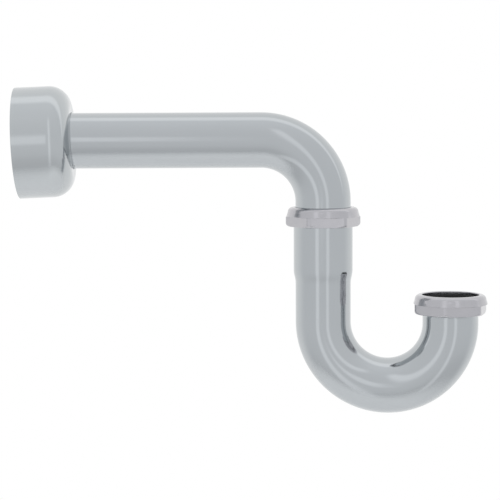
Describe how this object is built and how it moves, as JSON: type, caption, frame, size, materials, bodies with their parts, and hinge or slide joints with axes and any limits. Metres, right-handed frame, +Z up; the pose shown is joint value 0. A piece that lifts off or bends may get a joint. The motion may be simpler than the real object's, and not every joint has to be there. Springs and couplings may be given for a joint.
{
  "type": "tubular p-trap with box escutcheon",
  "caption": "Chrome tubular P-trap: a J bend and a wall bend joined by slip nuts over rubber washers, with a deep box escutcheon that slides on the wall tube.",
  "frame": {"origin": "centre of the wall tube's open wall end", "axes": "+X along the wall tube from the wall into the room, +Z up; the trap bend is drawn swivelled 9 degrees from +X towards -Y"},
  "size_m": [0.2691, 0.0642, 0.1881],
  "materials": {
    "chrome_tube": "chrome-plated drawn tube",
    "chrome_sheet": "chrome-plated drawn sheet",
    "chrome_casting": "chrome-plated die casting",
    "black_rubber": "matt moulded rubber"
  },
  "bodies": {
    "wall_bend": {"wall_bend": "chrome_tube"},
    "escutcheon": {"box_escutcheon": "chrome_sheet"},
    "outlet_washer": {"outlet_slip_washer": "black_rubber"},
    "trap_bend": {"trap_bend": "chrome_tube"},
    "outlet_nut": {"outlet_slip_nut": "chrome_casting"},
    "inlet_washer": {"inlet_slip_washer": "black_rubber"},
    "inlet_nut": {"inlet_slip_nut": "chrome_casting"}
  },
  "joints": [
    {"name": "escutcheon_slide", "type": "slide", "parent": "wall_bend", "child": "escutcheon", "axis": [1, 0, 0], "range_m": [0, 0.105]},
    {"name": "trap_height", "type": "slide", "parent": "wall_bend", "child": "outlet_washer", "axis": [0, 0, 1], "range_m": [-0.018, 0.002]},
    {"name": "trap_swivel", "type": "hinge", "parent": "outlet_washer", "child": "trap_bend", "pos_m": [0.1715, 0, -0.0417], "axis": [0, 0, 1], "continuous": true},
    {"name": "outlet_nut_turn", "type": "hinge", "parent": "trap_bend", "child": "outlet_nut", "pos_m": [0.1715, 0, -0.044], "axis": [0, 0, 1], "range_deg": [0, 360]},
    {"name": "inlet_washer_rise", "type": "slide", "parent": "trap_bend", "child": "inlet_washer", "axis": [0, 0, 1], "range_m": [0, 0.0045]},
    {"name": "inlet_nut_turn", "type": "hinge", "parent": "inlet_washer", "child": "inlet_nut", "pos_m": [0.2436, -0.01142, -0.0935], "axis": [0, 0, 1], "range_deg": [0, 720]}
  ],
  "couplings": [
    {"joint": "inlet_washer_rise", "follows": "inlet_nut_turn", "m_per_rad": 0.00035173}
  ]
}
